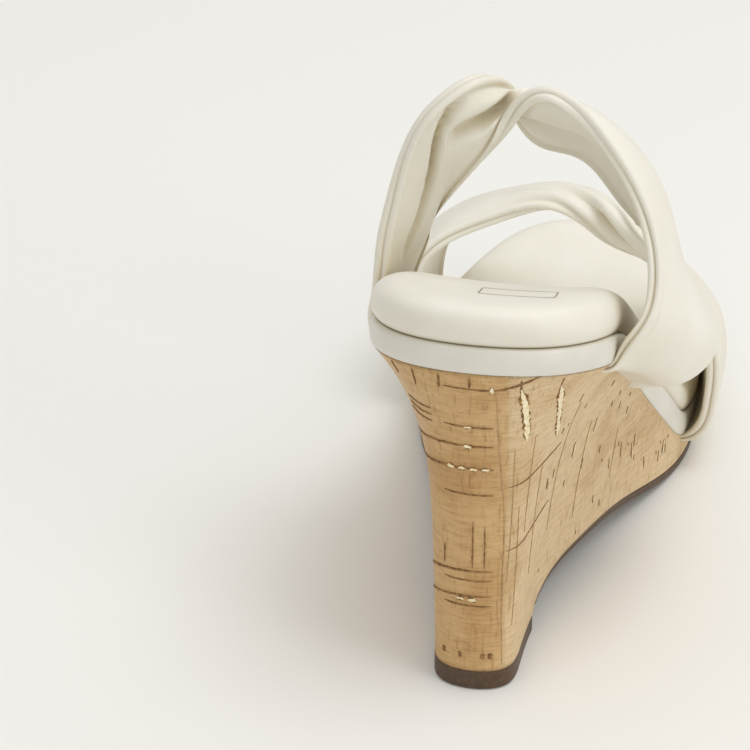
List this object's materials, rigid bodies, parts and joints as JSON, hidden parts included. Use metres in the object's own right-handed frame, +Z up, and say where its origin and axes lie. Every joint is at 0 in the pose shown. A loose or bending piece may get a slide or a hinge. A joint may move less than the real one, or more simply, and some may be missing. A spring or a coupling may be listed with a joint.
{
  "type": "wedge sandal",
  "caption": "Slip-on open-toe wedge sandal, right foot: tall cork-covered waisted wedge, padded footbed, two twisted leather straps.",
  "frame": {"origin": "bottom centre of the bounding box, on the ground under the middle of the sandal", "axes": "+Y from the heel to the toe, +X to the outer side of the right foot, +Z up"},
  "size_m": [0.1008, 0.2172, 0.1535],
  "materials": {
    "cork_sheet": "natural cork sheet with dark pits and gold foil flecks",
    "wedge_foam": "hard moulded foam",
    "sole_rubber": "smooth brown rubber",
    "lift_rubber": "hard brown rubber",
    "white_leather": "smooth white nappa",
    "cream_leather": "smooth cream nappa",
    "soft_foam": "open-cell foam",
    "platform_foam": "closed-cell foam",
    "filler_felt": "pressed felt",
    "insole_board": "pressed fibre board",
    "shank_board": "hard fibre board",
    "shank_steel": "spring steel",
    "rivet_steel": "plated steel",
    "screw_steel": "zinc plated steel",
    "nail_steel": "bright steel",
    "pin_steel": "bright steel",
    "strap_leather": "soft cream nappa",
    "strap_lining": "soft cream nappa",
    "strap_padding": "soft foam",
    "strap_tape": "woven cotton tape",
    "edge_cord": "leather rolled over cord"
  },
  "bodies": {
    "root": {"cork_cover": "cork_sheet", "wedge_core": "wedge_foam", "outsole": "sole_rubber", "heel_top_lift": "lift_rubber", "footbed_wrap": "white_leather", "sock_lining": "cream_leather", "sock_foam": "soft_foam", "platform_foam": "platform_foam", "bottom_filler": "filler_felt", "insole_board": "insole_board", "shank_board": "shank_board", "steel_shank": "shank_steel", "shank_rivets": "rivet_steel", "heel_screw": "screw_steel", "heel_nails": "nail_steel", "top_lift_pins": "pin_steel", "rear_strap_outer": "strap_leather", "rear_strap_lining": "strap_lining", "rear_strap_padding": "strap_padding", "rear_strap_tape": "strap_tape", "rear_strap_cord_a": "edge_cord", "rear_strap_cord_b": "edge_cord", "front_strap_outer": "strap_leather", "front_strap_lining": "strap_lining", "front_strap_padding": "strap_padding", "front_strap_tape": "strap_tape", "front_strap_cord_a": "edge_cord", "front_strap_cord_b": "edge_cord"}
  },
  "joints": []
}
